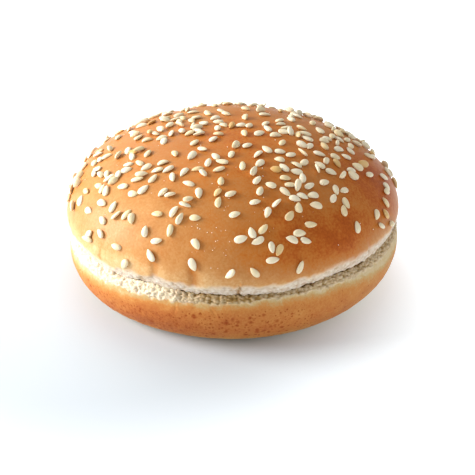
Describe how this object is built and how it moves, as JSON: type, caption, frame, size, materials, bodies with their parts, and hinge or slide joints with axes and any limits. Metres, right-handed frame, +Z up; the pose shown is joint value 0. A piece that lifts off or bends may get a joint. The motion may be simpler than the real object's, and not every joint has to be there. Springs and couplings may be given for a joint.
{
  "type": "sesame burger bun",
  "caption": "Sliced burger bun: a domed crown with sesame seeds baked on, resting on a flat-footed heel",
  "frame": {"origin": "the middle of the flat foot, on the surface that the bun stands on", "axes": "+Z up through the top of the dome, -Y towards the front that the picture shows, +X to its right"},
  "size_m": [0.101, 0.0997, 0.048],
  "materials": {
    "crown_crust": "egg-washed and baked golden brown, softly shiny, paler at the lip",
    "heel_crust": "pan-baked crust, matte, with small darker pits and a pale edge at the cut",
    "crumb": "torn white crumb, open and matte",
    "sesame": "hulled ivory seeds with a faint oily sheen"
  },
  "bodies": {
    "root": {"bun_crown": "crown_crust", "bun_heel": "heel_crust"}
  },
  "joints": []
}
